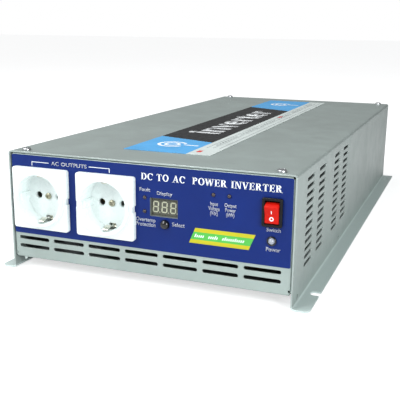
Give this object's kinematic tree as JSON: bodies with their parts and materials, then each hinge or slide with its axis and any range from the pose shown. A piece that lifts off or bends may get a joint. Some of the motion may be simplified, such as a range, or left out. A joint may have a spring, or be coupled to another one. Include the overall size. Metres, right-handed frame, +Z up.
{
  "type": "power inverter",
  "caption": "Battery-to-mains power inverter in a long grey steel case, with round earthed outlets, a rocker switch and a small readout at the front, and fans and battery studs at the back",
  "frame": {"origin": "centre of the footprint at the underside of the mounting flanges", "axes": "+X to the right seen from the front, +Y from the outlets towards the fans, +Z up"},
  "size_m": [0.262, 0.5454, 0.1015],
  "materials": {
    "housing_paint": "semi-gloss silver-grey paint",
    "panel_paint": "satin grey paint",
    "base_steel": "satin grey paint",
    "front_label_blue": "satin printed film",
    "top_label_film": "satin printed film",
    "sticker_film": "gloss printed film",
    "zinc_steel": "zinc plated",
    "socket_white": "semi-gloss moulded",
    "socket_grey": "matte moulded",
    "nickel_strap": "nickel plated spring strip",
    "aluminium_fins": "extruded",
    "transistor_black": "moulded epoxy",
    "capacitor_sleeve": "shrunk sleeve",
    "fan_black": "moulded, fine grain",
    "fan_rotor_black": "moulded",
    "guard_wire": "bright plated wire",
    "switch_black": "moulded",
    "rocker_red": "translucent red moulding",
    "led_ring_black": "moulded",
    "power_lens_clear": "clear epoxy",
    "indicator_lens": "dark tinted epoxy",
    "display_face": "dark face with pale segments",
    "board_green": "solder mask",
    "select_black": "moulded",
    "switch_grey": "moulded",
    "copper_winding": "enamelled copper wire",
    "ferrite": "sintered",
    "terminal_red": "moulded",
    "terminal_black": "moulded",
    "brass_stud": "machined",
    "busbar_copper": "rolled copper"
  },
  "bodies": {
    "housing": {"top_cover": "housing_paint", "front_panel": "panel_paint", "rear_panel": "panel_paint", "chassis_base": "base_steel", "front_label": "front_label_blue", "top_label": "top_label_film", "feature_sticker": "sticker_film", "front_left_cover_screw": "zinc_steel", "front_right_cover_screw": "zinc_steel", "rear_left_cover_screw": "zinc_steel", "rear_right_cover_screw": "zinc_steel", "left_socket_cover": "socket_white", "left_socket_base": "socket_grey", "left_earth_strap": "nickel_strap", "left_socket_screw": "zinc_steel", "left_heatsink": "aluminium_fins", "left_transistor_bank": "transistor_black", "left_bus_capacitor": "capacitor_sleeve", "left_fan_frame": "fan_black", "left_fan_guard": "guard_wire", "right_socket_cover": "socket_white", "right_socket_base": "socket_grey", "right_earth_strap": "nickel_strap", "right_socket_screw": "zinc_steel", "right_heatsink": "aluminium_fins", "right_transistor_bank": "transistor_black", "right_bus_capacitor": "capacitor_sleeve", "right_fan_frame": "fan_black", "right_fan_guard": "guard_wire", "rocker_housing": "switch_black", "power_led_ring": "led_ring_black", "power_led_lens": "power_lens_clear", "fault_led": "indicator_lens", "overheat_led": "indicator_lens", "input_level_led": "indicator_lens", "output_level_led": "indicator_lens", "display_module": "display_face", "display_board": "board_green", "main_board": "board_green", "control_board": "board_green", "select_switch": "switch_grey", "output_choke": "copper_winding", "front_transformer_winding": "copper_winding", "rear_transformer_winding": "copper_winding", "front_transformer_core": "ferrite", "rear_transformer_core": "ferrite", "positive_terminal_block": "terminal_red", "negative_terminal_block": "terminal_black", "positive_terminal_stud": "brass_stud", "negative_terminal_stud": "brass_stud", "ground_stud": "brass_stud", "positive_terminal_nut": "zinc_steel", "negative_terminal_nut": "zinc_steel", "ground_nut": "zinc_steel", "positive_busbar": "busbar_copper", "negative_busbar": "busbar_copper"},
    "rocker": {"rocker_button": "rocker_red"},
    "select": {"select_button": "select_black"},
    "left_rotor": {"left_fan_rotor": "fan_rotor_black"},
    "right_rotor": {"right_fan_rotor": "fan_rotor_black"}
  },
  "joints": [
    {"name": "rocker_tilt", "type": "hinge", "parent": "housing", "child": "rocker", "pos_m": [0.1016, -0.2611, 0.0712], "axis": [-1, 0, 0], "range_deg": [0, 24]},
    {"name": "select_press", "type": "slide", "parent": "housing", "child": "select", "axis": [0, 1, 0], "range_m": [0, 0.001], "stiffness_N_per_m": 600},
    {"name": "left_fan_spin", "type": "hinge", "parent": "housing", "child": "left_rotor", "pos_m": [-0.0715, 0.2332, 0.0542], "axis": [0, 1, 0], "continuous": true},
    {"name": "right_fan_spin", "type": "hinge", "parent": "housing", "child": "right_rotor", "pos_m": [0.0715, 0.2332, 0.0542], "axis": [0, 1, 0], "continuous": true}
  ]
}
